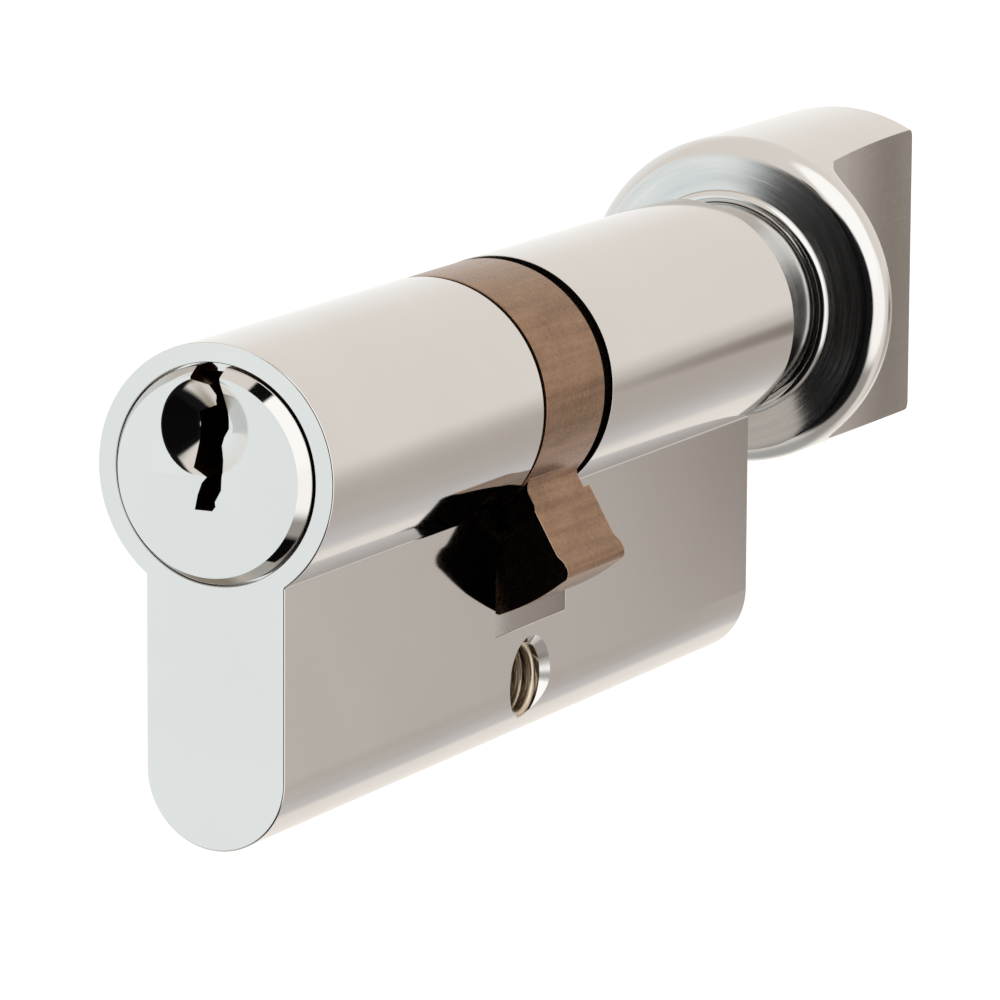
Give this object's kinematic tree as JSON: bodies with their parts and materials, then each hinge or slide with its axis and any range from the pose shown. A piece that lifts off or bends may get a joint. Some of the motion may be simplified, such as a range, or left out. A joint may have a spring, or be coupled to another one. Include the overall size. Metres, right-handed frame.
{
  "type": "euro cylinder lock with thumbturn",
  "caption": "Euro-profile lock cylinder with a keyed plug on one side, a thumbturn knob on the other and a lever cam between them, drilled for its fixing screw.",
  "frame": {"origin": "on the barrel axis at mid-length, straight above the fixing screw hole", "axes": "+Y along the barrel from the key side to the thumbturn, +Z from the leg up to the barrel, +X to the right seen from the key side"},
  "size_m": [0.024, 0.0984, 0.0365],
  "materials": {
    "nickel_plate": "polished nickel plate on brass",
    "nickel_plug": "polished nickel plate on brass, machined keyway",
    "nickel_knob": "polished nickel plate on brass",
    "sintered_bronze": "fine-grained sintered metal",
    "brass": "turned",
    "spring_steel": "bright drawn",
    "steel": "ground"
  },
  "bodies": {
    "housing": {"body": "nickel_plate", "chamber_plug_1": "brass", "chamber_plug_2": "brass", "chamber_plug_3": "brass", "chamber_plug_4": "brass", "chamber_plug_5": "brass", "pin_spring_1": "spring_steel", "pin_spring_2": "spring_steel", "pin_spring_3": "spring_steel", "pin_spring_4": "spring_steel", "pin_spring_5": "spring_steel"},
    "plug": {"key_plug": "nickel_plug", "key_ring": "spring_steel"},
    "clutch": {"clutch": "steel", "clutch_spring": "spring_steel"},
    "cam": {"cam": "sintered_bronze"},
    "thumbturn": {"turn_spindle": "nickel_knob", "turn_ring": "spring_steel", "knob": "nickel_knob", "grub_screw": "steel"},
    "key_pin_1": {"key_pin_1": "brass"},
    "driver_pin_1": {"driver_pin_1": "steel"},
    "key_pin_2": {"key_pin_2": "brass"},
    "driver_pin_2": {"driver_pin_2": "steel"},
    "key_pin_3": {"key_pin_3": "brass"},
    "driver_pin_3": {"driver_pin_3": "steel"},
    "key_pin_4": {"key_pin_4": "brass"},
    "driver_pin_4": {"driver_pin_4": "steel"},
    "key_pin_5": {"key_pin_5": "brass"},
    "driver_pin_5": {"driver_pin_5": "steel"}
  },
  "joints": [
    {"name": "turn_spin", "type": "hinge", "parent": "housing", "child": "thumbturn", "pos_m": [0, 0.035, 0], "axis": [0, 1, 0], "continuous": true},
    {"name": "cam_spin", "type": "hinge", "parent": "housing", "child": "cam", "pos_m": [0, 0, 0], "axis": [0, 1, 0], "continuous": true},
    {"name": "key_plug_spin", "type": "hinge", "parent": "housing", "child": "plug", "pos_m": [0, -0.035, 0], "axis": [0, 1, 0], "continuous": true},
    {"name": "clutch_slide", "type": "slide", "parent": "plug", "child": "clutch", "axis": [0, 1, 0], "range_m": [0, 0.0014], "stiffness_N_per_m": 150, "springref_m": -0.002, "deforming": ["clutch_spring"]},
    {"name": "key_pin_1_lift", "type": "slide", "parent": "plug", "child": "key_pin_1", "axis": [0, 0, 1], "range_m": [0, 0.00242]},
    {"name": "driver_pin_1_drop", "type": "slide", "parent": "housing", "child": "driver_pin_1", "axis": [0, 0, 1], "range_m": [-0.0028, 0], "stiffness_N_per_m": 60, "springref_m": 0.004, "deforming": ["pin_spring_1"]},
    {"name": "key_pin_2_lift", "type": "slide", "parent": "plug", "child": "key_pin_2", "axis": [0, 0, 1], "range_m": [0, 0.00372]},
    {"name": "driver_pin_2_drop", "type": "slide", "parent": "housing", "child": "driver_pin_2", "axis": [0, 0, 1], "range_m": [-0.0028, 0], "stiffness_N_per_m": 60, "springref_m": 0.004, "deforming": ["pin_spring_2"]},
    {"name": "key_pin_3_lift", "type": "slide", "parent": "plug", "child": "key_pin_3", "axis": [0, 0, 1], "range_m": [0, 0.00292]},
    {"name": "driver_pin_3_drop", "type": "slide", "parent": "housing", "child": "driver_pin_3", "axis": [0, 0, 1], "range_m": [-0.0028, 0], "stiffness_N_per_m": 60, "springref_m": 0.004, "deforming": ["pin_spring_3"]},
    {"name": "key_pin_4_lift", "type": "slide", "parent": "plug", "child": "key_pin_4", "axis": [0, 0, 1], "range_m": [0, 0.00412]},
    {"name": "driver_pin_4_drop", "type": "slide", "parent": "housing", "child": "driver_pin_4", "axis": [0, 0, 1], "range_m": [-0.0028, 0], "stiffness_N_per_m": 60, "springref_m": 0.004, "deforming": ["pin_spring_4"]},
    {"name": "key_pin_5_lift", "type": "slide", "parent": "plug", "child": "key_pin_5", "axis": [0, 0, 1], "range_m": [0, 0.00332]},
    {"name": "driver_pin_5_drop", "type": "slide", "parent": "housing", "child": "driver_pin_5", "axis": [0, 0, 1], "range_m": [-0.0028, 0], "stiffness_N_per_m": 60, "springref_m": 0.004, "deforming": ["pin_spring_5"]}
  ],
  "couplings": [
    {"joint": "cam_spin", "follows": "turn_spin", "ratio": 1}
  ]
}
